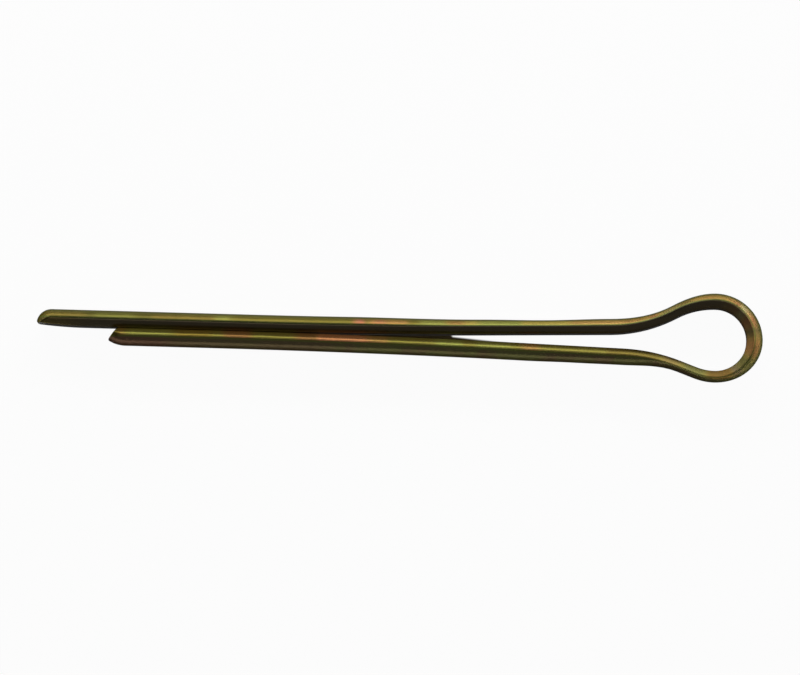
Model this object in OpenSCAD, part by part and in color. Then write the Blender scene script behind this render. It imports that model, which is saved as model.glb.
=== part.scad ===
// Cotter pin bent from one length of half-round wire, in millimetres.
// The flat sides of the two legs face each other, so the closed legs make a round shank.
// The pin lies on its side: X runs along the shank to the eye, Y across the split, Z up.
// The origin is on the shank's axis, where the short leg reaches its full section.

/* [Shank] */
// Diameter of the round shank that the two closed legs make
shank_d = 3.05; // [2.4:0.05:3.6]
// Gap left between the flat sides of the closed legs
leg_gap = 0.05; // [0.03:0.01:0.15]
// Distance from the origin to the point where the legs start to part
split_x = 21.6; // [20:0.05:23]
// How far the long leg reaches past the end of the short leg
long_leg_extra = 6.35; // [4:0.05:12]

/* [Wire section] */
// Height of the bevel on the wire's inner edges, from the shank's axis
bevel_h = 0.61; // [0.3:0.01:0.61]
// Width of the bevel on the wire's inner edges
bevel_w = 0.5; // [0.3:0.01:0.8]
// Radius of the bevel's slight crown
bevel_crown_r = 4; // [1:0.1:8]
// Width of the small break between the bevel and the round side
edge_break = 0.03; // [0.02:0.01:0.1]

/* [Eye] */
// Distance from the origin to the centre of the eye
eye_x = 51.85; // [44:0.05:70]
// Height of the eye's centre above the shank's axis, towards the long leg
eye_lift = 0.4; // [-0.4:0.05:0.8]
// Inner radius of the eye's half circle
eye_r = 2.78; // [2.2:0.01:4]
// Depth of the wire at the far end of the eye
crown_depth = 1.43; // [1:0.01:1.8]

/* [Long side] */
// Depth of the wire at the eye's side, on the long leg's side
long_eye_depth = 1.35; // [0.8:0.01:1.7]
// Radius of the shoulder between the eye and the reverse bend
long_shoulder_r = 6.85; // [5:0.05:9]
// Angle of the shoulder, and so the slope of the flank behind it
long_shoulder_a = 28.9; // [22:0.1:34]
// Length of the straight flank between the shoulder and the reverse bend
long_flank_l = 0.1; // [0:0.05:1.5]
// Depth of the wire along the flank
long_flank_depth = 1.14; // [0.8:0.01:1.6]
// Radius of the reverse bend, at the wire's flat side
long_neck_r = 12.8; // [8:0.1:16]
// Depth of the wire where the reverse bend meets the leg
long_neck_depth = 1.34; // [0.9:0.01:1.6]
// Depth of the wire half way along the open part of the leg
long_leg_depth = 1.24; // [0.9:0.01:1.6]
// Depth of the wire where the open part meets the slow bow
long_bow_depth = 1.32; // [0.9:0.01:1.6]
// Radius of the slow bow in which the leg leaves the closed shank
long_bow_r = 600; // [300:10:700]

/* [Short side] */
// Depth of the wire at the eye's side, on the short leg's side
short_eye_depth = 0.94; // [0.8:0.01:1.7]
// Radius of the shoulder between the eye and the reverse bend
short_shoulder_r = 4.6; // [3:0.05:7]
// Angle of the shoulder, and so the slope of the flank behind it
short_shoulder_a = 20.1; // [15:0.1:26]
// Length of the straight flank between the shoulder and the reverse bend
short_flank_l = 1.5; // [0:0.05:3]
// Depth of the wire along the flank
short_flank_depth = 0.91; // [0.8:0.01:1.6]
// Radius of the reverse bend, at the wire's flat side
short_neck_r = 15.8; // [10:0.1:22]
// Depth of the wire where the reverse bend meets the leg
short_neck_depth = 1.38; // [0.9:0.01:1.6]
// Depth of the wire half way along the open part of the leg
short_leg_depth = 1.41; // [0.9:0.01:1.6]
// Depth of the wire where the open part meets the slow bow
short_bow_depth = 1.47; // [0.9:0.01:1.6]
// Radius of the slow bow in which the leg leaves the closed shank
short_bow_r = 1000; // [400:10:1100]

/* [Leg ends] */
// Length of the rounded nose on the long leg's round side
long_nose_l = 1.3; // [0.6:0.01:2]
// How far that nose drops at the long leg's tip
long_nose_drop = 1.1; // [0.3:0.01:1.15]
// Length of the taper on the long leg's flat side
long_taper_l = 2.6; // [1:0.1:4]
// Height of the taper on the long leg's flat side
long_taper_h = 0.25; // [0.1:0.01:0.35]
// Radius that eases the long leg's flat side into its taper
long_ease_r = 36; // [5:1:40]
// Length of the rounded nose on the short leg's round side
short_nose_l = 1.5; // [0.8:0.01:3]
// How far that nose drops at the short leg's tip
short_nose_drop = 0.42; // [0.1:0.01:0.5]
// Length of the sheared face on the short leg's flat side
short_taper_l = 0.75; // [0.3:0.01:1]
// Height of the sheared face on the short leg's flat side
short_taper_h = 1; // [0.4:0.01:1.05]
// Radius that eases the short leg's flat side into its sheared face
short_ease_r = 0.3; // [0.1:0.01:0.5]
// Radius of the corner at the very tip of each leg, on its flat side
tip_corner_r = 0.25; // [0.1:0.01:0.3]
// Radius of the corner at the very tip of each leg, on its round side
nose_corner_r = 0.15; // [0.05:0.01:0.2]

/* [Hidden] */

shank_r = shank_d / 2;
flat_y = leg_gap / 2;
full_depth = shank_r - flat_y;
edge_depth = bevel_h - flat_y;
short_tip_x = -short_nose_l;
long_tip_x = short_tip_x - long_leg_extra;

bar_facets = 120;
bend_step = 4;          // degrees between two sections round a bend
bow_steps = 12;
bow_ease = 1.6;         // the wire reaches its full depth this much sooner than the bow ends
leg_steps = 6;
round_step = 11;        // degrees between two points on the wire's round side
bevel_steps = 4;
corner_steps = 5;
nose_steps = 8;
seat = 0.4;             // how far the swept wire reaches into each straight leg
seat_step = 0.01;       // how much finer it is there, so that it lies wholly inside

function polar(r, a) = r * [cos(a), sin(a)];
function angle_of(v) = atan2(v.y, v.x);
function ease(t) = t * t * (3 - 2 * t);
function mix(a, b, t) = a + (b - a) * t;
function reversed(list) = [for (i = [len(list) - 1:-1:0]) list[i]];

// ---- Section of the wire: [across the wire, away from the shank's axis] ----

// One inner edge, from the flat side over the crowned bevel to the round side
function edge_points() =
    let (
        top = [sqrt(shank_r * shank_r - bevel_h * bevel_h), bevel_h],
        foot = [top.x - bevel_w, flat_y],
        chord = top - foot,
        half = norm(chord) / 2,
        inward = [-chord.y, chord.x] / norm(chord),
        centre = (foot + top) / 2 + inward * sqrt(bevel_crown_r * bevel_crown_r - half * half),
        a0 = angle_of(foot - centre),
        a1 = angle_of(top - centre) - edge_break / bevel_crown_r * 180 / PI,
        break_a = angle_of(top) + edge_break / shank_r * 180 / PI
    )
    concat(
        [for (i = [0:bevel_steps]) centre + polar(bevel_crown_r, mix(a0, a1, i / bevel_steps))],
        [polar(shank_r, break_a)]
    );

function mirrored(points) = [for (p = reversed(points)) [-p.x, p.y]];

// The whole section: flat side, two edges and the round side between them
function section_points() =
    let (
        edge = edge_points(),
        a0 = angle_of(edge[len(edge) - 1]),
        count = ceil((180 - 2 * a0) / round_step)
    )
    concat(
        edge,
        [for (i = [1:count - 1]) polar(shank_r, mix(a0, 180 - a0, i / count))],
        mirrored(edge)
    );

// ---- Line of the wire's flat side, as stations [point, angle of the outward normal, depth] ----

function arc_stations(centre, r, a0, a1, turn, d0, d1) =
    let (count = max(2, ceil(abs(a1 - a0) / bend_step)))
    [for (i = [1:count]) let (t = i / count, a = mix(a0, a1, t))
        [centre + polar(r, a), a + turn, mix(d0, d1, ease(t))]];

function line_stations(p0, p1, a, d0, d1, count) =
    [for (i = [1:count]) let (t = i / count) [mix(p0, p1, t), a, mix(d0, d1, ease(t))]];

// One side of the pin, from the far end of the eye to the closed shank, with Y positive
function side_stations(lift, eye_depth, shoulder_r, shoulder_a, flank_l, flank_depth,
                       neck_r, neck_depth, leg_depth, bow_depth, bow_r) =
    let (
        eye = [eye_x, lift],
        shoulder = eye + [0, eye_r - shoulder_r],
        flank_a = 90 + shoulder_a,
        flank_0 = shoulder + polar(shoulder_r, flank_a),
        flank_1 = flank_0 + polar(flank_l, flank_a + 90),
        neck = flank_1 + polar(neck_r, flank_a),
        corner = [split_x, flat_y],
        // The leg runs from the corner to its tangent point on the reverse bend
        reach = neck - corner,
        open_a = angle_of(reach) - asin(neck_r / norm(reach)),
        leg_0 = neck + polar(neck_r, open_a - 90),
        bow_l = bow_r * tan(open_a / 2),
        leg_1 = corner + polar(bow_l, open_a),
        leg_mid = (leg_0 + leg_1) / 2,
        bow = corner + [-bow_l, bow_r],
        bow_a = 270 + open_a
    )
    concat(
        [[eye + [eye_r, 0], 0, crown_depth]],
        arc_stations(eye, eye_r, 0, 90, 0, crown_depth, eye_depth),
        arc_stations(shoulder, shoulder_r, 90, flank_a, 0, eye_depth, flank_depth),
        flank_l > 0 ? line_stations(flank_0, flank_1, flank_a, flank_depth, flank_depth, 1) : [],
        arc_stations(neck, neck_r, flank_a + 180, bow_a, -180, flank_depth, neck_depth),
        line_stations(leg_0, leg_mid, open_a + 90, neck_depth, leg_depth, leg_steps),
        line_stations(leg_mid, leg_1, open_a + 90, leg_depth, bow_depth, leg_steps),
        [for (i = [1:bow_steps]) let (t = i / bow_steps, a = mix(bow_a, 270, t))
            [bow + polar(bow_r, a), a - 180, mix(bow_depth, full_depth, ease(min(1, bow_ease * t)))]],
        [[[corner.x - bow_l - seat, flat_y], 90, full_depth]]
    );

long_side = side_stations(eye_lift, long_eye_depth, long_shoulder_r, long_shoulder_a,
    long_flank_l, long_flank_depth, long_neck_r, long_neck_depth, long_leg_depth,
    long_bow_depth, long_bow_r);
short_side = side_stations(-eye_lift, short_eye_depth, short_shoulder_r, short_shoulder_a,
    short_flank_l, short_flank_depth, short_neck_r, short_neck_depth, short_leg_depth,
    short_bow_depth, short_bow_r);

// Where each straight leg ends and the swept wire takes over
long_leg_end = long_side[len(long_side) - 1][0].x + seat;
short_leg_end = short_side[len(short_side) - 1][0].x + seat;

// ---- Solids ----

// Height of a section's point in a wire of the given depth: the bevel keeps its size
function squeezed(y, depth) =
    y < bevel_h ? y - flat_y
    : edge_depth + (y - bevel_h) * (depth - edge_depth) / (shank_r - bevel_h);

// The wire's section carried round the stations, drawn as one closed skin
module swept_wire() {
    section = section_points();
    stations = concat(
        reversed(long_side),
        [for (i = [1:len(short_side) - 1]) let (s = short_side[i]) [[s[0].x, -s[0].y], -s[1], s[2]]]
    );
    m = len(section);
    n = len(stations);
    points = [for (s = stations) for (p = section)
        let (
            out = seat_step + squeezed(p.y, s[2]) * (1 - 2 * seat_step / s[2]),
            place = s[0] + polar(out, s[1])
        )
        [place.x, place.y, p.x * (1 - seat_step / shank_r)]];
    faces = concat(
        [[for (j = [m - 1:-1:0]) j]],
        [for (i = [0:n - 2]) for (j = [0:m - 1])
            let (k = (j + 1) % m, a = i * m, b = a + m)
            each [[a + j, b + k, b + j], [a + j, a + k, b + k]]],
        [[for (j = [0:m - 1]) (n - 1) * m + j]]
    );
    polyhedron(points, faces, convexity = 6);
}

// Corner b of the outline a-b-c, rounded
function rounded(a, b, c, r) =
    let (
        u = (a - b) / norm(a - b),
        v = (c - b) / norm(c - b),
        half = acos(u * v) / 2,
        centre = b + (u + v) / norm(u + v) * r / sin(half),
        a0 = angle_of(b + u * r / tan(half) - centre),
        turn = (180 - 2 * half) * (cross(u, v) > 0 ? -1 : 1)
    )
    [for (i = [0:corner_steps]) centre + polar(r, a0 + turn * i / corner_steps)];

// Room that a leg's end keeps, seen along Z: its flat side rises to a blunt tip
module end_room(tip_x, end_x, taper_l, taper_h, ease_r) {
    flat_end = [end_x + 1, flat_y];
    heel = [tip_x + taper_l, flat_y];
    toe = [tip_x, flat_y + taper_h];
    top = [tip_x, shank_d];
    linear_extrude(2 * shank_d, center = true)
        polygon(concat(
            [flat_end],
            rounded(flat_end, heel, toe, ease_r),
            rounded(heel, toe, top, tip_corner_r),
            [top, [end_x + 1, shank_d]]
        ));
}

// Room that a leg's section keeps, seen along X: the flat side and its two edges
module section_room(tip_x, end_x) {
    edge = edge_points();
    last = edge[len(edge) - 1];
    past = 2 * last - edge[len(edge) - 2];
    side = concat(edge, [past, [shank_d, past.y], [shank_d, shank_d]]);
    rotate([0, 90, 0])
        translate([0, 0, tip_x - 1])
            linear_extrude(end_x - tip_x + 2)
                polygon(concat(side, mirrored(side)));
}

// Round bar on the X axis with a nose turned on its free end
module bar(tip_x, end_x, nose_l, nose_drop) {
    nose_r = (nose_l * nose_l + nose_drop * nose_drop) / (2 * nose_drop);
    nose_a = asin(min(1, nose_l / nose_r));
    nose_centre = [shank_r - nose_r, tip_x + nose_l];
    nose = [for (i = [0:nose_steps]) nose_centre + polar(nose_r, nose_a * (i / nose_steps - 1))];
    past_corner = [for (p = nose) if (norm(p - nose[0]) > nose_corner_r) p];
    rotate([0, 90, 0])
        rotate_extrude($fn = bar_facets)
            polygon(concat(
                [[0, tip_x]],
                rounded([0, tip_x], nose[0], past_corner[0], nose_corner_r),
                past_corner,
                [[shank_r, end_x], [0, end_x]]
            ));
}

// Straight part of a leg, on the side where Y is positive
module straight_leg(tip_x, end_x, nose_l, nose_drop, taper_l, taper_h, ease_r) {
    intersection() {
        bar(tip_x, end_x, nose_l, nose_drop);
        section_room(tip_x, end_x);
        end_room(tip_x, end_x, taper_l, taper_h, ease_r);
    }
}

module pin() {
    color("#7d7440") {
        swept_wire();
        straight_leg(long_tip_x, long_leg_end, long_nose_l, long_nose_drop,
            long_taper_l, long_taper_h, long_ease_r);
        mirror([0, 1, 0])
            straight_leg(short_tip_x, short_leg_end, short_nose_l, short_nose_drop,
                short_taper_l, short_taper_h, short_ease_r);
    }
}

pin();
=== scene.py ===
import math
import bpy
from mathutils import Matrix, Vector


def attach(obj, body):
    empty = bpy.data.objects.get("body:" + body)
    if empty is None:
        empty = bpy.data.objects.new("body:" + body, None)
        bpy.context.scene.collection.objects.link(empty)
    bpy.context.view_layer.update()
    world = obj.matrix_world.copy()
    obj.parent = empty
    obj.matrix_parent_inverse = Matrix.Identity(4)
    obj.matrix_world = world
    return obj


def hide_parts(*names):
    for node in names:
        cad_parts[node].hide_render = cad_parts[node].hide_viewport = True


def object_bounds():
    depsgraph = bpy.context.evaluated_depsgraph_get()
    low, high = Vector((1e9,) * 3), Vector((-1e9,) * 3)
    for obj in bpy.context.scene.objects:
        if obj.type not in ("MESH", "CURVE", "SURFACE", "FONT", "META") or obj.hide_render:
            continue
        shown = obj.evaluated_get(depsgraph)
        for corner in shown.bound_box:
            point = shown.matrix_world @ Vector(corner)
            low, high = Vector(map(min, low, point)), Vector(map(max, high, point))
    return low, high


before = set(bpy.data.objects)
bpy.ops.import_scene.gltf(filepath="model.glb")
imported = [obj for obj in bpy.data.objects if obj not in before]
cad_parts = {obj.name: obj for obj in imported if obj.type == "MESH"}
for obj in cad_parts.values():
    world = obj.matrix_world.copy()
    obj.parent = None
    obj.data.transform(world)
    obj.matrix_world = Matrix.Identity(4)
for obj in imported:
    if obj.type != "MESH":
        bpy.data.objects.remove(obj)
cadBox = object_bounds()
mm = 0.001
print("frame loaded")


def addNode(tree, kind, inputs=None, **settings):
    # makes a node, sets its options, then fills or links its sockets by name or number
    node = tree.nodes.new(kind)
    for name, value in settings.items():
        setattr(node, name, value)
    for key, value in (inputs or {}).items():
        socket = node.inputs[key]
        if isinstance(value, bpy.types.NodeSocket):
            tree.links.new(value, socket)
        else:
            socket.default_value = value
    return node


def calc(tree, operation, a, b=None):
    inputs = {0: a} if b is None else {0: a, 1: b}
    return addNode(tree, "ShaderNodeMath", inputs, operation=operation).outputs[0]


def splitVector(tree, vector):
    return addNode(tree, "ShaderNodeSeparateXYZ", {0: vector}).outputs


def smoothRange(tree, value, low, high, atLow=0.0, atHigh=1.0):
    # runs smoothly from one value to the other, and keeps to them outside
    return addNode(tree, "ShaderNodeMapRange", {
        "Value": value, "From Min": low, "From Max": high, "To Min": atLow, "To Max": atHigh},
        interpolation_type="SMOOTHSTEP").outputs[0]


def blend(tree, factor, under, over):
    return addNode(tree, "ShaderNodeMix", {0: factor, 6: under, 7: over},
                   data_type="RGBA").outputs[2]


def addNoise(tree, vector, scale, detail, distortion=0.0, roughness=0.6):
    return addNode(tree, "ShaderNodeTexNoise", {
        "Vector": vector, "Scale": scale, "Detail": detail, "Roughness": roughness,
        "Distortion": distortion}).outputs[0]


def addSocket(tree, name, kind, isOutput=False):
    way = "OUTPUT" if isOutput else "INPUT"
    tree.interface.new_socket(name, in_out=way, socket_type=kind)


def addObject(name, data):
    obj = bpy.data.objects.new(name, data)
    bpy.context.scene.collection.objects.link(obj)
    return obj


# lengths in millimetres, angles in degrees
pin = {
    "shankRadius": 1.525,
    "legGap": 0.05,            # between the flat sides of the closed legs
    "splitX": 21.6,            # where the legs part
    "bevelHeight": 0.61,
    "bevelWidth": 0.5,
    "bevelCrown": 8,           # radius of the bevel's slight crown
    "edgeBreak": 0.03,         # from the bevel to the round side
    "cornerRound": 0.03,       # on the two edges of the flat side
    "cornerPoints": 3,
    "eyeX": 51.85,
    "eyeRadius": 2.78,
    "crownDepth": 1.43,        # of the wire at the eye's far end
    "tipCorner": 0.25,
    "noseCorner": 0.15,
    "bendStep": 2.5,           # at most, between two rings of a bend
    "bendLeast": 3,            # rings in the shortest bend
    "straightStep": 0.45,      # at most, between two rings of a straight
    "straightLeast": 2,
    "bowSteps": 24,
    "bowFill": 1.6,            # a bow has its full depth after 1 / 1.6 of its length
    "cornerSteps": 8,
    "easeSteps": 12,
    "noseSteps": 24,
    "tipSteps": 34,
    "tipMargin": 1,            # the tip's outline and its close rings start this much early
    "tipSearch": 0.5,          # the tip's two sides meet this near to its end
    "tipHalvings": 40,
    "bevelPoints": 12,
    "roundPoints": 40,
    "seamHalf": 0.002,         # half the slit in the flat side, where the section starts
    "flatMargin": 0.001,
    "cornerFrom": 0.1,         # the flat side's corners are further out than this
    "topWeld": 0.0008,
    "lastWeld": 0.005,         # closes the slit
    "longSide": {
        "bowRadius": 600, "lift": 0.4,
        "eyeDepth": 1.35, "shoulderRadius": 6.85, "shoulderAngle": 28.9,
        "flankLength": 0.1, "flankDepth": 1.14, "neckRadius": 12.8, "neckDepth": 1.34,
        "legDepth": 1.24, "bowDepth": 1.32, "noseLength": 1.3, "noseDrop": 1.1,
        "taperLength": 2.6, "taperHeight": 0.25, "easeRadius": 36, "tip": -7.85,
    },
    "shortSide": {
        "bowRadius": 1000, "lift": -0.4,
        "eyeDepth": 0.94, "shoulderRadius": 4.6, "shoulderAngle": 20.1,
        "flankLength": 1.5, "flankDepth": 0.91, "neckRadius": 15.8, "neckDepth": 1.38,
        "legDepth": 1.41, "bowDepth": 1.47, "noseLength": 1.5, "noseDrop": 0.42,
        "taperLength": 0.75, "taperHeight": 1, "easeRadius": 0.3, "tip": -1.5,
    },
}
flatHeight = pin["legGap"] / 2
fullDepth = pin["shankRadius"] - flatHeight


def polar(radius, angle):
    return Vector((math.cos(math.radians(angle)), math.sin(math.radians(angle)))) * radius


def angleOf(v):
    return math.degrees(math.atan2(v.y, v.x))


def mix(a, b, t):
    return a + (b - a) * t


def ease(t):
    return t * t * (3 - 2 * t)


# a ring of the sweep: where its flat side's middle is, the way that its round side faces, the
# wire's depth, the radius that cuts off its round side and the height that its flat side has
def ring(point, angle, depth, radius=None, rise=None):
    return (Vector(point), polar(1, angle), depth, radius or pin["shankRadius"],
            rise or flatHeight)


def arcRings(centre, radius, a0, a1, flip, d0, d1):
    count = max(pin["bendLeast"], math.ceil(abs(a1 - a0) / pin["bendStep"]))
    turns = [(i / count, mix(a0, a1, i / count)) for i in range(1, count + 1)]
    return [ring(centre + polar(radius, a), a + flip, mix(d0, d1, ease(t))) for t, a in turns]


def lineRings(p0, p1, angle, d0, d1):
    count = max(pin["straightLeast"], math.ceil((p1 - p0).length / pin["straightStep"]))
    turns = [i / count for i in range(1, count + 1)]
    return [ring(p0.lerp(p1, t), angle, mix(d0, d1, ease(t))) for t in turns]


def bentRings(side):
    # from the far end of the eye to the closed shank, on the side where Y is positive
    eye = Vector((pin["eyeX"], side["lift"]))
    eyeRadius, shoulderRadius = pin["eyeRadius"], side["shoulderRadius"]
    neckRadius, flankDepth = side["neckRadius"], side["flankDepth"]
    shoulder = eye + Vector((0, eyeRadius - shoulderRadius))
    flankAngle = 90 + side["shoulderAngle"]
    flank0 = shoulder + polar(shoulderRadius, flankAngle)
    flank1 = flank0 + polar(side["flankLength"], flankAngle + 90)
    neck = flank1 + polar(neckRadius, flankAngle)
    corner = Vector((pin["splitX"], flatHeight))
    reach = neck - corner
    openAngle = angleOf(reach) - math.degrees(math.asin(neckRadius / reach.length))
    leg0 = neck + polar(neckRadius, openAngle - 90)
    bowLength = side["bowRadius"] * math.tan(math.radians(openAngle / 2))
    leg1 = corner + polar(bowLength, openAngle)
    legMiddle = (leg0 + leg1) / 2
    bow = corner + Vector((-bowLength, side["bowRadius"]))
    bowAngle = 270 + openAngle
    rings = [ring(eye + Vector((eyeRadius, 0)), 0, pin["crownDepth"])]
    rings += arcRings(eye, eyeRadius, 0, 90, 0, pin["crownDepth"], side["eyeDepth"])
    rings += arcRings(shoulder, shoulderRadius, 90, flankAngle, 0, side["eyeDepth"], flankDepth)
    rings += lineRings(flank0, flank1, flankAngle, flankDepth, flankDepth)
    rings += arcRings(neck, neckRadius, flankAngle + 180, bowAngle, -180,
                      flankDepth, side["neckDepth"])
    rings += lineRings(leg0, legMiddle, openAngle + 90, side["neckDepth"], side["legDepth"])
    rings += lineRings(legMiddle, leg1, openAngle + 90, side["legDepth"], side["bowDepth"])
    for i in range(1, pin["bowSteps"] + 1):
        t = i / pin["bowSteps"]
        a = mix(bowAngle, 270, t)
        depth = mix(side["bowDepth"], fullDepth, ease(min(1, pin["bowFill"] * t)))
        rings.append(ring(bow + polar(side["bowRadius"], a), a - 180, depth))
    return rings


def roundedCorner(a, b, c, radius, steps=pin["cornerSteps"]):
    u, v = (a - b).normalized(), (c - b).normalized()
    half = math.degrees(math.acos(u.dot(v))) / 2
    centre = b + (u + v).normalized() * radius / math.sin(math.radians(half))
    a0 = angleOf(b + u * radius / math.tan(math.radians(half)) - centre)
    sweep = (180 - 2 * half) * (-1 if u.x * v.y - u.y * v.x > 0 else 1)
    return [centre + polar(radius, a0 + sweep * i / steps) for i in range(steps + 1)]


def endRings(side, startX):
    # straight leg from the bow to its blunt tip: the flat side tapers, the round side has a nose
    tip, radius = side["tip"], pin["shankRadius"]
    outlineX = startX + pin["tipMargin"]
    flatEnd = Vector((outlineX, flatHeight))
    heel = Vector((tip + side["taperLength"], flatHeight))
    toe = Vector((tip, flatHeight + side["taperHeight"]))
    top = Vector((tip, 2 * radius))
    taper = [flatEnd] + roundedCorner(flatEnd, heel, toe, side["easeRadius"], pin["easeSteps"])
    taper += roundedCorner(heel, toe, top, pin["tipCorner"]) + [top]
    noseRadius = (side["noseLength"] ** 2 + side["noseDrop"] ** 2) / (2 * side["noseDrop"])
    noseAngle = math.degrees(math.asin(min(1, side["noseLength"] / noseRadius)))
    noseCentre = Vector((tip + side["noseLength"], radius - noseRadius))
    steps = pin["noseSteps"]
    arc = [noseCentre + polar(noseRadius, 90 + noseAngle * i / steps) for i in range(steps + 1)]
    last = Vector((tip, 0))
    nose = [Vector((outlineX, radius))]
    nose += [p for p in arc if (p - arc[-1]).length > pin["noseCorner"]]
    nose += roundedCorner(nose[-1], arc[-1], last, pin["noseCorner"]) + [last]

    def heightAt(x, line):
        for p, q in zip(line, line[1:]):
            if q.x <= x <= p.x and p.x > q.x:
                return mix(p.y, q.y, (p.x - x) / (p.x - q.x))
        return line[-2].y

    def flatAt(x):
        return heightAt(x, taper)

    def radiusAt(x):
        return heightAt(x, nose)

    endX = tip
    if flatAt(tip) > radiusAt(tip):
        low, high = tip, tip + pin["tipSearch"]
        for _ in range(pin["tipHalvings"]):      # where the two sides of the tip meet
            endX = (low + high) / 2
            low, high = (endX, high) if flatAt(endX) > radiusAt(endX) else (low, endX)
    # the rings crowd together towards the end
    span = max(side["noseLength"], side["taperLength"]) + pin["tipMargin"]
    xs = []
    x = startX - pin["straightStep"]
    while x > endX + span:
        xs.append(x)
        x -= pin["straightStep"]
    steps = pin["tipSteps"]
    xs += [endX + span * (1 - i / steps) ** 2 for i in range(steps + 1)]
    rings = [ring((x, flatHeight), 90, fullDepth, radiusAt(x), min(flatAt(x), radiusAt(x)))
             for x in xs]
    middle = (flatAt(endX) + radiusAt(endX)) / 2
    return rings + [ring((endX, flatHeight), 90, fullDepth, middle, middle)]


def wholeSide(side):
    rings = bentRings(side)
    return rings + endRings(side, rings[-1][0].x)


def makePath():
    mirrored = [(Vector((p.x, -p.y)), Vector((n.x, -n.y)), *sizes)
                for p, n, *sizes in wholeSide(pin["shortSide"])]
    rings = list(reversed(wholeSide(pin["longSide"]))) + mirrored[1:]
    mesh = bpy.data.meshes.new("wirePath")
    links = [(i, i + 1) for i in range(len(rings) - 1)]
    mesh.from_pydata([(p.x * mm, p.y * mm, 0) for p, *_ in rings], links, [])
    away = mesh.attributes.new("away", "FLOAT_VECTOR", "POINT")
    away.data.foreach_set("vector", [v for r in rings for v in (r[1].x, r[1].y, 0)])
    for name, index in (("depth", 2), ("limit", 3), ("rise", 4)):
        values = mesh.attributes.new(name, "FLOAT", "POINT")
        values.data.foreach_set("value", [r[index] * mm for r in rings])
    print("wire path:", len(rings), "rings")
    return mesh


def sectionPoints():
    # foot, middle and top of the bevel, then the start, middle and top of the round side
    radius = pin["shankRadius"]
    top = Vector((math.sqrt(radius ** 2 - pin["bevelHeight"] ** 2), pin["bevelHeight"]))
    foot = Vector((top.x - pin["bevelWidth"], flatHeight))
    chord = top - foot
    half = chord.length / 2
    inward = Vector((-chord.y, chord.x)).normalized()
    centre = (foot + top) / 2 + inward * math.sqrt(pin["bevelCrown"] ** 2 - half ** 2)
    a0 = angleOf(foot - centre)
    a1 = angleOf(top - centre) - math.degrees(pin["edgeBreak"] / pin["bevelCrown"])
    start = angleOf(top) + math.degrees(pin["edgeBreak"] / radius)
    return {
        "Foot": foot,
        "Bevel Middle": centre + polar(pin["bevelCrown"], (a0 + a1) / 2),
        "Bevel Top": centre + polar(pin["bevelCrown"], a1),
        "Round Start": polar(radius, start),
        "Round Middle": polar(radius, (start + 90) / 2),
        "Round Top": Vector((0, radius)),
    }


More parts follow.
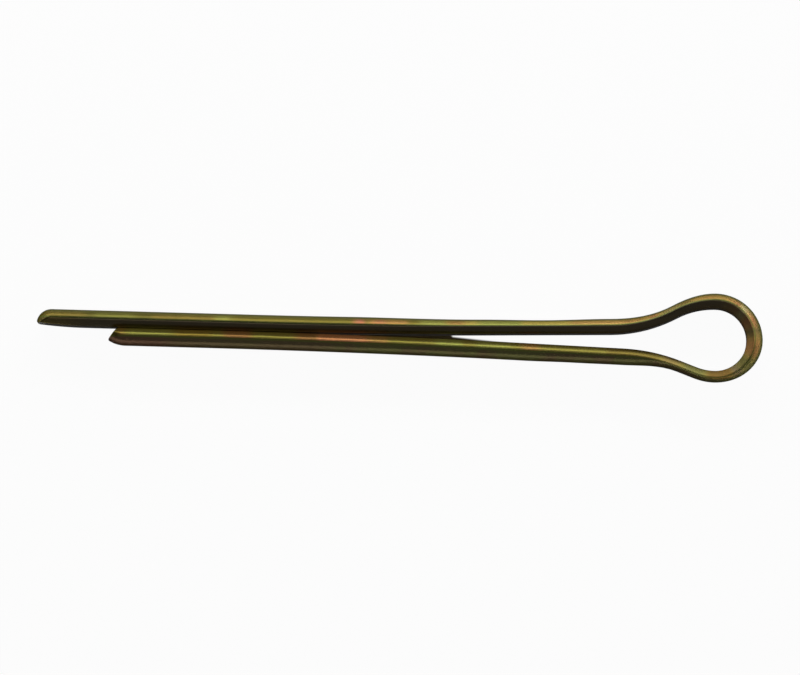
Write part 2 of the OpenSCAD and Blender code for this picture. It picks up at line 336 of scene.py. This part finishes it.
def makeSweepTree():
    tree = bpy.data.node_groups.new("halfRoundSweep", "GeometryNodeTree")
    addSocket(tree, "Geometry", "NodeSocketGeometry")
    for name in sectionPoints():
        addSocket(tree, name, "NodeSocketVector")
    for name in ("Flat Height", "Bevel Height", "Shank Radius", "Corner Round"):
        addSocket(tree, name, "NodeSocketFloat")
    for name in ("Bevel Points", "Round Points"):
        addSocket(tree, name, "NodeSocketInt")
    addSocket(tree, "Material", "NodeSocketMaterial")
    addSocket(tree, "Geometry", "NodeSocketGeometry", isOutput=True)
    given = addNode(tree, "NodeGroupInput").outputs

    def store(geometry, name, value, kind="FLOAT", domain="POINT"):
        return addNode(tree, "GeometryNodeStoreNamedAttribute", {
            "Geometry": geometry, "Name": name, "Value": value},
            data_type=kind, domain=domain).outputs[0]

    def stored(name, kind="FLOAT"):
        return addNode(tree, "GeometryNodeInputNamedAttribute", {"Name": name},
                       data_type=kind).outputs[0]

    # half of the section: flat side, bevel and round side
    flatStart = addNode(tree, "ShaderNodeCombineXYZ", {
        0: pin["seamHalf"] * mm, 1: given["Flat Height"]}).outputs[0]
    flatLine = addNode(tree, "GeometryNodeCurvePrimitiveLine", {
        "Start": flatStart, "End": given["Foot"]})
    bevelArc = addNode(tree, "GeometryNodeCurveArc", {
        "Resolution": given["Bevel Points"], "Start": given["Foot"],
        "Middle": given["Bevel Middle"], "End": given["Bevel Top"]}, mode="POINTS")
    breakLine = addNode(tree, "GeometryNodeCurvePrimitiveLine", {
        "Start": given["Bevel Top"], "End": given["Round Start"]})
    roundArc = addNode(tree, "GeometryNodeCurveArc", {
        "Resolution": given["Round Points"], "Start": given["Round Start"],
        "Middle": given["Round Middle"], "End": given["Round Top"]}, mode="POINTS")
    half = addNode(tree, "GeometryNodeJoinGeometry")
    for part in (flatLine, bevelArc, breakLine, roundArc):
        tree.links.new(part.outputs["Curve"], half.inputs[0])
    # the other half is its mirror image, and they are welded where the round side is highest
    otherHalf = addNode(tree, "GeometryNodeTransform", {
        "Geometry": half.outputs[0], "Scale": (-1, 1, 1)})
    outline = addNode(tree, "GeometryNodeJoinGeometry")
    for part in (half, otherHalf):
        tree.links.new(part.outputs[0], outline.inputs[0])
    edges = addNode(tree, "GeometryNodeCurveToMesh", {"Curve": outline.outputs[0]})
    welded = addNode(tree, "GeometryNodeMergeByDistance", {
        "Geometry": edges.outputs[0], "Distance": pin["topWeld"] * mm})
    profile = addNode(tree, "GeometryNodeMeshToCurve", {"Mesh": welded.outputs[0]})
    place = addNode(tree, "GeometryNodeInputPosition").outputs[0]
    placeX, placeY, _ = splitVector(tree, place)
    flatTop = calc(tree, "ADD", given["Flat Height"], pin["flatMargin"] * mm)
    isOuter = calc(tree, "GREATER_THAN", calc(tree, "ABSOLUTE", placeX), pin["cornerFrom"] * mm)
    isCorner = calc(tree, "MULTIPLY", calc(tree, "LESS_THAN", placeY, flatTop), isOuter)
    filleted = addNode(tree, "GeometryNodeFilletCurve", {
        "Curve": profile.outputs[0], "Count": pin["cornerPoints"], "Limit Radius": True,
        "Radius": calc(tree, "MULTIPLY", isCorner, given["Corner Round"])}, mode="POLY")
    # the section and the path hand their own places and lengths on to the swept points
    length = addNode(tree, "GeometryNodeSplineParameter").outputs["Length"]
    section = store(filleted.outputs[0], "section", place, "FLOAT_VECTOR")
    section = store(section, "around", length)
    path = addNode(tree, "GeometryNodeMeshToCurve", {"Mesh": given["Geometry"]})
    path = store(path.outputs[0], "station", place, "FLOAT_VECTOR")
    path = store(path, "along", length)
    swept = addNode(tree, "GeometryNodeCurveToMesh", {"Curve": path, "Profile Curve": section})

    # the bevel keeps its size and the round side above it is squeezed to the wire's depth
    sectionX, sectionY, _ = splitVector(tree, stored("section", "FLOAT_VECTOR"))
    bevelDepth = calc(tree, "SUBTRACT", given["Bevel Height"], given["Flat Height"])
    roundDepth = calc(tree, "SUBTRACT", given["Shank Radius"], given["Bevel Height"])
    above = calc(tree, "SUBTRACT", sectionY, given["Bevel Height"])
    above = calc(tree, "MAXIMUM", above, 0.0)
    squeeze = calc(tree, "SUBTRACT", stored("depth"), bevelDepth)
    squeeze = calc(tree, "DIVIDE", squeeze, roundDepth)
    low = calc(tree, "MINIMUM", sectionY, given["Bevel Height"])
    full = calc(tree, "ADD", low, calc(tree, "MULTIPLY", above, squeeze))
    # at the legs' ends the flat side and the nose cut into it
    height = calc(tree, "MAXIMUM", full, stored("rise"))
    height = calc(tree, "MINIMUM", height, stored("limit"))
    out = calc(tree, "SUBTRACT", height, given["Flat Height"])
    room = calc(tree, "SUBTRACT", calc(tree, "POWER", stored("limit"), 2.0),
                calc(tree, "POWER", height, 2.0))
    halfChord = calc(tree, "SQRT", calc(tree, "MAXIMUM", room, 0.0))
    across = calc(tree, "MULTIPLY", calc(tree, "SIGN", sectionX),
                  calc(tree, "MINIMUM", calc(tree, "ABSOLUTE", sectionX), halfChord))
    outward = addNode(tree, "ShaderNodeVectorMath", {
        0: stored("away", "FLOAT_VECTOR"), "Scale": out}, operation="SCALE").outputs[0]
    sideways = addNode(tree, "ShaderNodeCombineXYZ", {2: across}).outputs[0]
    offset = addNode(tree, "ShaderNodeVectorMath", {
        0: outward, 1: sideways}, operation="ADD").outputs[0]
    target = addNode(tree, "ShaderNodeVectorMath", {
        0: stored("station", "FLOAT_VECTOR"), 1: offset}, operation="ADD").outputs[0]
    shaped = addNode(tree, "GeometryNodeSetPosition", {
        "Geometry": swept.outputs[0], "Position": target})

    # map of the wire in millimetres: along it, and round its section
    mapPoint = addNode(tree, "ShaderNodeCombineXYZ", {
        0: calc(tree, "DIVIDE", stored("along"), mm),
        1: calc(tree, "DIVIDE", stored("around"), mm)}).outputs[0]
    mapped = store(shaped.outputs[0], "wireMap", mapPoint, "FLOAT2", "CORNER")
    closed = addNode(tree, "GeometryNodeMergeByDistance", {
        "Geometry": mapped, "Distance": pin["lastWeld"] * mm})
    smooth = addNode(tree, "GeometryNodeSetShadeSmooth", {"Geometry": closed.outputs[0]})
    real = addNode(tree, "GeometryNodeRealizeInstances", {"Geometry": smooth.outputs[0]})
    finished = addNode(tree, "GeometryNodeSetMaterial", {
        "Geometry": real.outputs[0], "Material": given["Material"]})
    addNode(tree, "NodeGroupOutput", {"Geometry": finished.outputs[0]})
    return tree


def makePin(material):
    path = addObject("wirePath", makePath())
    modifier = path.modifiers.new("sweep", "NODES")
    modifier.node_group = makeSweepTree()
    values = {name: (p.x * mm, p.y * mm, 0) for name, p in sectionPoints().items()}
    values.update({
        "Flat Height": flatHeight * mm, "Bevel Height": pin["bevelHeight"] * mm,
        "Shank Radius": pin["shankRadius"] * mm, "Corner Round": pin["cornerRound"] * mm,
        "Bevel Points": pin["bevelPoints"], "Round Points": pin["roundPoints"],
        "Material": material,
    })
    for item in modifier.node_group.interface.items_tree:
        isInput = item.item_type == "SOCKET" and item.in_out == "INPUT"
        if isInput and item.name in values:
            modifier[item.identifier] = values[item.name]
    depsgraph = bpy.context.evaluated_depsgraph_get()
    sweptPath = path.evaluated_get(depsgraph)
    mesh = bpy.data.meshes.new_from_object(sweptPath, depsgraph=depsgraph)
    mesh.name = "halfRoundWire"
    bpy.data.objects.remove(path)
    for name in ("section", "station", "away", "depth", "limit", "rise", "around", "along"):
        if name in mesh.attributes:
            mesh.attributes.remove(mesh.attributes[name])
    print("wire:", len(mesh.vertices), "points", len(mesh.polygons), "faces")
    return addObject("halfRoundWire", mesh)


# places in millimetres: along the wire from the long leg's tip, past the eye's far end at 64.4,
# to the short leg's tip, or round its section from the middle of the flat side
plate = {
    "tints": {
        "olive": (0.19, 0.17, 0.03), "khaki": (0.29, 0.24, 0.04), "brass": (0.41, 0.36, 0.07),
        "moss": (0.30, 0.30, 0.10), "leaf": (0.50, 0.54, 0.12), "straw": (0.82, 0.64, 0.14),
        "gold": (0.31, 0.225, 0.045), "amber": (0.62, 0.35, 0.10), "ochre": (0.80, 0.49, 0.14),
        "copper": (0.50, 0.24, 0.08), "rose": (0.68, 0.26, 0.13), "lilac": (0.36, 0.29, 0.20),
        # the umber tint is painted shade for the long side's inner wall
        "bronze": (0.24, 0.18, 0.09), "shadeUmber": (0.145, 0.12, 0.075), "fern": (0.22, 0.29, 0.05),
        # the fen tint is moss painted darker, as shade for the short side's outer flank
        "shadedMoss": (0.24, 0.24, 0.085), "honey": (0.43, 0.31, 0.05), "ember": (0.86, 0.36, 0.15),
        "spark": (0.80, 0.68, 0.30), "rust": (0.26, 0.145, 0.09), "fawn": (0.39, 0.28, 0.09),
        "toffee": (0.40, 0.225, 0.06),
    },
    # the lit edge starts in olive, and turns to each of these from its start to its end
    "edgeTurns": [("khaki", 9, 14), ("straw", 32, 40), ("brass", 66, 72)],
    # place along the wire, half length, tint and strength
    "patches": [
        (2.4, 1.8, "gold", 0.7), (7, 1.8, "leaf", 0.25), (13, 2.8, "gold", 0.9),
        (16.4, 0.7, "leaf", 0.5), (28.4, 0.5, "rose", 1), (31, 1.7, "amber", 1),
        (30.2, 0.5, "rose", 0.6), (34.9, 1.2, "leaf", 0.7), (36.9, 0.7, "amber", 0.9),
        (40.8, 1.9, "leaf", 0.9), (44.7, 1.3, "straw", 0.9), (50, 3.0, "ochre", 1),
        (52.7, 1.1, "amber", 0.8), (54.6, 0.6, "rose", 0.7), (56.4, 0.9, "lilac", 0.5),
        (57.8, 0.6, "fawn", 0.9), (59.2, 0.9, "amber", 0.75), (60.4, 1.2, "amber", 0.7),
        (61.7, 0.4, "rose", 0.7), (62.3, 0.35, "spark", 1), (63.1, 0.5, "rose", 0.8),
        (63.9, 0.35, "bronze", 0.8), (65.0, 0.8, "ochre", 0.9), (65.0, 0.6, "ember", 0.5),
        (66.4, 0.6, "moss", 0.8), (67.2, 0.3, "lilac", 0.7), (68.4, 1.0, "toffee", 0.9),
        (70.6, 1.0, "moss", 0.8), (72.8, 0.9, "fawn", 0.9), (76.2, 2.4, "gold", 0.8),
        (85.3, 0.8, "amber", 0.9), (88.6, 1.6, "leaf", 0.6), (92.5, 1.2, "leaf", 0.9),
        (98.7, 0.9, "amber", 0.9), (101.9, 2.4, "ember", 0.95), (105.1, 0.9, "copper", 0.9),
        (111.1, 1.2, "copper", 0.9), (115, 1.5, "honey", 0.9), (118.8, 1.8, "leaf", 0.5),
        (121.4, 0.4, "amber", 0.5),
    ],
    "patchBlur": 0.5,
    "patchWander": 0.9,
    "wanderScale": 1.1,
    # fades along the wire, from start to end
    "shortFrom": (66, 72),
    # the painted shade on the long side's inner wall fades out near the eye's far end, and fades
    # in from the long tip
    "shadeLongTo": (60, 65.2),
    "brownFrom": (105, 112),
    "rustFrom": (116, 118.5),
    "shadeAlongFrom": (-3, 6),
    # fades round the section
    "sectionLength": 6.86,
    "bandFrom": (4.1, 4.6),       # the patches start here on the long side
    "shortBandFrom": (4.95, 5.2),
    "shadeRoundFrom": (4.85, 5.1),        # and the painted shade on the long side's inner wall starts here
    "greenLine": {"place": 5.02, "half": 0.13, "strength": 0.8},
    # brown clouds on the short side, and specks everywhere
    "clouds": {"scale": 0.22, "swirl": 0.4, "fade": (0.42, 0.58)},
    "specks": {"scale": 6.0, "fade": (0.3, 0.7), "strength": 0.25},
    # the eye's far end is duller by this much, which fades out between two distances from it
    "crown": {"place": 64.4, "dull": 0.2, "from": 2.5, "to": 9},
    "roughness": (0.15, 0.22),
    "roughScale": 0.7,
    "roughFade": (0.3, 0.7),
    "grainScale": 5.5,
    "grainDepth": 0.09,
    "grainHeight": 0.012,
    "lineStretch": (0.25, 6.0, 0),    # the drawn lines change slowly along the wire
    "lineShare": 0.5,
    "fineDetail": 2.0,
    "coarseDetail": 3.0,
    "metal": 0.93,
    "edgeTint": (0.3, 0.3, 0.3, 1),
}


def makePatchGroup():
    # one patch of the film's colour, laid over the colour under it
    tree = bpy.data.node_groups.new("filmPatch", "ShaderNodeTree")
    addSocket(tree, "Color", "NodeSocketColor")
    addSocket(tree, "Tint", "NodeSocketColor")
    for name in ("Along", "Place", "Reach", "Blur", "Strength"):
        addSocket(tree, name, "NodeSocketFloat")
    addSocket(tree, "Color", "NodeSocketColor", isOutput=True)
    given = addNode(tree, "NodeGroupInput").outputs
    off = calc(tree, "ABSOLUTE", calc(tree, "SUBTRACT", given["Along"], given["Place"]))
    low = calc(tree, "SUBTRACT", given["Reach"], given["Blur"])
    high = calc(tree, "ADD", given["Reach"], given["Blur"])
    inside = smoothRange(tree, off, low, high, 1.0, 0.0)
    share = calc(tree, "MULTIPLY", inside, given["Strength"])
    laid = blend(tree, share, given["Color"], given["Tint"])
    addNode(tree, "NodeGroupOutput", {"Color": laid})
    return tree


def makeGrainGroup():
    # fine grain of the plating over faint lines drawn along the wire, and uneven roughness
    tree = bpy.data.node_groups.new("platingGrain", "ShaderNodeTree")
    addSocket(tree, "Millimetres", "NodeSocketVector")
    addSocket(tree, "Wire Map", "NodeSocketVector")
    addSocket(tree, "Rough Least", "NodeSocketFloat")
    addSocket(tree, "Rough Most", "NodeSocketFloat")
    addSocket(tree, "Height", "NodeSocketFloat", isOutput=True)
    addSocket(tree, "Roughness", "NodeSocketFloat", isOutput=True)
    given = addNode(tree, "NodeGroupInput").outputs
    fine, coarse = plate["fineDetail"], plate["coarseDetail"]
    grain = addNoise(tree, given["Millimetres"], plate["grainScale"], fine)
    stretched = addNode(tree, "ShaderNodeVectorMath", {
        0: given["Wire Map"], 1: plate["lineStretch"]}, operation="MULTIPLY").outputs[0]
    lines = addNoise(tree, stretched, 1.0, coarse)
    height = calc(tree, "ADD", grain, calc(tree, "MULTIPLY", lines, plate["lineShare"]))
    uneven = addNoise(tree, given["Millimetres"], plate["roughScale"], coarse)
    low, high = plate["roughFade"]
    rough = addNode(tree, "ShaderNodeMapRange", {
        "Value": uneven, "From Min": low, "From Max": high,
        "To Min": given["Rough Least"], "To Max": given["Rough Most"]}).outputs[0]
    addNode(tree, "NodeGroupOutput", {"Height": height, "Roughness": rough})
    return tree


def makePlate():
    material = bpy.data.materials.new("yellowZincPlate")
    material.use_nodes = True
    tree = material.node_tree
    shader = tree.nodes["Principled BSDF"]
    shader.inputs["Metallic"].default_value = plate["metal"]
    shader.inputs["Specular Tint"].default_value = plate["edgeTint"]
    tint = {name: (*color, 1) for name, color in plate["tints"].items()}
    fine, coarse = plate["fineDetail"], plate["coarseDetail"]

    wireMap = addNode(tree, "ShaderNodeUVMap", uv_map="wireMap").outputs[0]
    alongWire, aroundWire, _ = splitVector(tree, wireMap)
    # the section's lower half takes the colours of its upper half
    around = calc(tree, "SUBTRACT", plate["sectionLength"], aroundWire)
    around = calc(tree, "MAXIMUM", aroundWire, around)
    metres = addNode(tree, "ShaderNodeTexCoord").outputs["Object"]
    millimetres = addNode(tree, "ShaderNodeVectorMath", {
        0: metres, "Scale": 1 / mm}, operation="SCALE").outputs[0]

    # the lit edge's colour changes along the wire in patches
    wander = addNoise(tree, millimetres, plate["wanderScale"], coarse)
    wander = calc(tree, "MULTIPLY", calc(tree, "SUBTRACT", wander, 0.5), plate["patchWander"])
    along = calc(tree, "ADD", alongWire, wander)
    color = tint["olive"]
    for name, start, end in plate["edgeTurns"]:
        color = blend(tree, smoothRange(tree, alongWire, start, end), color, tint[name])
    patchGroup = makePatchGroup()
    for place, reach, name, strength in plate["patches"]:
        color = addNode(tree, "ShaderNodeGroup", {
            "Color": color, "Tint": tint[name], "Along": along, "Place": place, "Reach": reach,
            "Blur": min(plate["patchBlur"], reach), "Strength": strength},
            node_tree=patchGroup).outputs[0]

    # the outer sides are mossy; on the short side, which faces away from the lamps, the moss is
    # painted darker as shade, and brown clouds and brown towards its tip darken it further,
    # partly as brown tone and partly as painted shade, with rust at its tip
    onShort = smoothRange(tree, alongWire, *plate["shortFrom"])
    clouds, specks = plate["clouds"], plate["specks"]
    cloud = addNoise(tree, millimetres, clouds["scale"], coarse, clouds["swirl"])
    cloud = calc(tree, "MULTIPLY", smoothRange(tree, cloud, *clouds["fade"]), onShort)
    brownAndShade = calc(tree, "MAXIMUM", cloud, smoothRange(tree, alongWire, *plate["brownFrom"]))
    outer = blend(tree, onShort, tint["moss"], tint["shadedMoss"])
    outer = blend(tree, brownAndShade, outer, tint["bronze"])
    outer = blend(tree, smoothRange(tree, along, *plate["rustFrom"]), outer, tint["rust"])
    bandFrom = [addNode(tree, "ShaderNodeMix", {0: onShort, 2: a, 3: b}).outputs[0]
                for a, b in zip(plate["bandFrom"], plate["shortBandFrom"])]
    color = blend(tree, smoothRange(tree, around, *bandFrom), outer, color)

    # painted shade: the long side's inner wall, where it faces the short leg and the eye, is
    # darkened to umber, behind a thin green line
    shadeOnLong = smoothRange(tree, alongWire, *plate["shadeLongTo"], 1.0, 0.0)
    innerShade = calc(tree, "MULTIPLY", smoothRange(tree, around, *plate["shadeRoundFrom"]), shadeOnLong)
    innerShade = calc(tree, "MULTIPLY", innerShade, smoothRange(tree, alongWire, *plate["shadeAlongFrom"]))
    color = blend(tree, innerShade, color, tint["shadeUmber"])
    line = plate["greenLine"]
    fromLine = calc(tree, "ABSOLUTE", calc(tree, "SUBTRACT", around, line["place"]))
    onLine = smoothRange(tree, fromLine, 0.0, line["half"], line["strength"], 0.0)
    color = blend(tree, onLine, color, tint["fern"])
    speck = addNoise(tree, millimetres, specks["scale"], fine)
    speck = smoothRange(tree, speck, *specks["fade"])
    speck = calc(tree, "MULTIPLY", speck, specks["strength"])
    color = blend(tree, speck, color, tint["bronze"])
    tree.links.new(color, shader.inputs["Base Color"])

    roughLeast, roughMost = plate["roughness"]
    grain = addNode(tree, "ShaderNodeGroup", {
        "Millimetres": millimetres, "Wire Map": wireMap, "Rough Least": roughLeast,
        "Rough Most": roughMost}, node_tree=makeGrainGroup()).outputs
    crown = plate["crown"]
    fromCrown = calc(tree, "ABSOLUTE", calc(tree, "SUBTRACT", alongWire, crown["place"]))
    dull = smoothRange(tree, fromCrown, crown["from"], crown["to"], crown["dull"], 0.0)
    tree.links.new(calc(tree, "ADD", grain["Roughness"], dull), shader.inputs["Roughness"])
    bump = addNode(tree, "ShaderNodeBump", {
        "Height": grain["Height"], "Strength": plate["grainDepth"],
        "Distance": plate["grainHeight"] * mm})
    tree.links.new(bump.outputs[0], shader.inputs["Normal"])
    print("plating:", len(plate["patches"]), "patches")
    return material


piece = makePin(makePlate())
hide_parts("pin")
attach(piece, "root")


# lengths in metres and angles in degrees, where nothing else is said
studio = {
    "floorHalf": 3,
    "floorColor": (0.8, 0.8, 0.8, 1),
    "cameraGlow": 0.96,       # share of the floor's white that is its own, as the camera sees it
    "mirrorGlow": 0.05,       # and as the metal sees it
    # millimetres; a shadow painted on the floor under the closed legs, whose end has two slants:
    # a short steep edge, then a long gentle one
    "slitShadow": {"from": 0, "half": 0.9, "blur": 0.1, "ends": [(29.0, 1.0), (31.15, 12.0)],
             "color": (0.5, 0.37, 0.2, 1)},
    "world": 0.04,
    "aim": 24,                # millimetres along the shank to the place that the lamps face
    "distance": 1.2,
    "boxTop": 17.5,           # height of the softboxes, as an angle above the floor
    "boxWidth": 30,
    "boxLevel": 1.06,
    # degrees from the eye's end, and share of the level
    "boxes": {-75: 0.07, -45: 0.08, -15: 0.13, 15: 0.48, 45: 1.15, 75: 1.0,
              105: 1.0, 135: 0.5, 165: 0.35, 195: 0.16, 225: 0.08, 255: 0.07},
    "highLamps": {
        "overhead": {"facing": 90, "height": 82, "size": (0.6, 0.9), "level": 0.6},
        "eyeSide": {"facing": 21, "height": 29, "size": (0.75, 0.45), "level": 0.62},
        "shadeSide": {"facing": 270, "height": 33, "size": (1.2, 0.62), "level": 0.075},
    },
    # close by, and not seen in the metal
    "wash": {"facing": 90, "height": 28, "size": (0.3, 0.035), "level": 11, "distance": 0.2},
}
aim = Vector((studio["aim"] * mm, 0, cadBox[0].z))


def makeFloor():
    mesh = bpy.data.meshes.new("floor")
    z, s = cadBox[0].z, studio["floorHalf"]
    mesh.from_pydata([(-s, -s, z), (s, -s, z), (s, s, z), (-s, s, z)], [], [(0, 1, 2, 3)])
    floor = addObject("floor", mesh)
    material = bpy.data.materials.new("whiteFloor")
    material.use_nodes = True
    tree = material.node_tree
    tree.nodes.clear()
    path = addNode(tree, "ShaderNodeLightPath").outputs
    mirrored = calc(tree, "MAXIMUM", path["Is Glossy Ray"], path["Is Transmission Ray"])
    # painted shadow: the floor has no glow and is painted brown right under the closed legs, so
    # that the slit between them is dark
    slitShadow = studio["slitShadow"]
    x, y, _ = splitVector(tree, addNode(tree, "ShaderNodeTexCoord").outputs["Object"])
    pastEnds = []
    for end, slant in slitShadow["ends"]:
        slanted = calc(tree, "ADD", x, calc(tree, "MULTIPLY", y, slant))
        beyond = calc(tree, "SUBTRACT", slanted, end * mm)
        pastEnds.append(calc(tree, "DIVIDE", beyond, math.hypot(1, slant)))
    pastEnd = calc(tree, "MINIMUM", *pastEnds)
    pastStart = calc(tree, "SUBTRACT", slitShadow["from"] * mm, x)
    pastSide = calc(tree, "SUBTRACT", calc(tree, "ABSOLUTE", y), slitShadow["half"] * mm)
    past = calc(tree, "MAXIMUM", calc(tree, "MAXIMUM", pastEnd, pastStart), pastSide)
    # clear is 1 outside the painted shadow and 0 inside it
    clear = smoothRange(tree, past, -slitShadow["blur"] * mm, slitShadow["blur"] * mm)
    cameraShare = calc(tree, "MULTIPLY", path["Is Camera Ray"], studio["cameraGlow"])
    cameraShare = calc(tree, "MULTIPLY", cameraShare, clear)
    mirrorShare = calc(tree, "MULTIPLY", mirrored, studio["mirrorGlow"])
    seen = calc(tree, "MAXIMUM", cameraShare, mirrorShare)
    shade = blend(tree, clear, slitShadow["color"], studio["floorColor"])
    matt = addNode(tree, "ShaderNodeBsdfDiffuse", {"Color": shade})
    glow = addNode(tree, "ShaderNodeEmission", {"Color": (1, 1, 1, 1), "Strength": 1.0})
    both = addNode(tree, "ShaderNodeMixShader", {
        0: seen, 1: matt.outputs[0], 2: glow.outputs[0]})
    addNode(tree, "ShaderNodeOutputMaterial", {"Surface": both.outputs[0]})
    mesh.materials.append(material)


def makeWorld():
    world = bpy.data.worlds.new("studio")
    bpy.context.scene.world = world
    world.use_nodes = True
    background = world.node_tree.nodes["Background"]
    background.inputs["Color"].default_value = (1, 1, 1, 1)
    background.inputs["Strength"].default_value = studio["world"]


def makeLamp(name, place, target, size, level):
    # level is the lamp's own brightness, where 1 is white
    lamp = bpy.data.lights.new(name, "AREA")
    lamp.shape = "RECTANGLE"
    lamp.size, lamp.size_y = size
    lamp.energy = level * math.pi * size[0] * size[1]
    obj = addObject(name, lamp)
    obj.location = place
    obj.rotation_mode = "QUATERNION"
    obj.rotation_quaternion = (target - place).to_track_quat("-Z", "Y")
    return obj


def makeSoftboxes():
    # a ring of low softboxes standing on the floor
    distance = studio["distance"]
    height = distance * math.tan(math.radians(studio["boxTop"]))
    width = 2 * distance * math.tan(math.radians(studio["boxWidth"] / 2))
    target = aim + Vector((0, 0, height / 2))
    for facing, share in studio["boxes"].items():
        place = target + polar(distance, facing).to_3d()
        makeLamp(f"softbox{facing}", place, target, (width, height), studio["boxLevel"] * share)


def makeHighLamp(name, facing, height, size, level, distance=studio["distance"]):
    out = polar(distance * math.cos(math.radians(height)), facing)
    lift = distance * math.sin(math.radians(height))
    return makeLamp(name, aim + Vector((out.x, out.y, lift)), aim, size, level)


makeFloor()
makeWorld()
makeSoftboxes()
for name, settings in studio["highLamps"].items():
    makeHighLamp(name, **settings)
wash = makeHighLamp("wash", **studio["wash"])
wash.visible_glossy = False
print("studio lit")


camera = {
    "picture": (800, 675),
    "millimetresPerPixel": 0.088,
    "eyePixel": (714.90, 340.36),    # where the middle of the eye's long side shows
    "turn": 1.597,        # degrees that the shank falls to the right
    "roll": 5.5,          # degrees that the view leans about the shank
    "lens": 400,
    "sensor": 36,
    "clip": (0.01, 20),
}


def makeCamera():
    data = bpy.data.cameras.new("camera")
    data.lens, data.sensor_width = camera["lens"], camera["sensor"]
    data.clip_start, data.clip_end = camera["clip"]
    turn, roll = math.radians(camera["turn"]), math.radians(camera["roll"])
    tilt = Vector((math.cos(roll), math.sin(roll)))
    right = Vector((math.cos(turn), *(math.sin(turn) * tilt)))
    up = Vector((-math.sin(turn), *(math.cos(turn) * tilt)))
    back = right.cross(up)
    scale = camera["millimetresPerPixel"] * mm
    width, height = camera["picture"]
    eyeColumn, eyeRow = camera["eyePixel"]
    eye = Vector((pin["eyeX"], pin["longSide"]["lift"], 0)) * mm
    target = eye + right * (width / 2 - eyeColumn) * scale - up * (height / 2 - eyeRow) * scale
    distance = scale * width * camera["lens"] / camera["sensor"]
    obj = addObject("camera", data)
    axes = Matrix((right, up, back)).transposed().to_4x4()
    obj.matrix_world = Matrix.Translation(target + back * distance) @ axes
    bpy.context.scene.camera = obj
    print("camera placed")


makeCamera()
bpy.context.scene.view_settings.view_transform = "Standard"

print("scene ready")
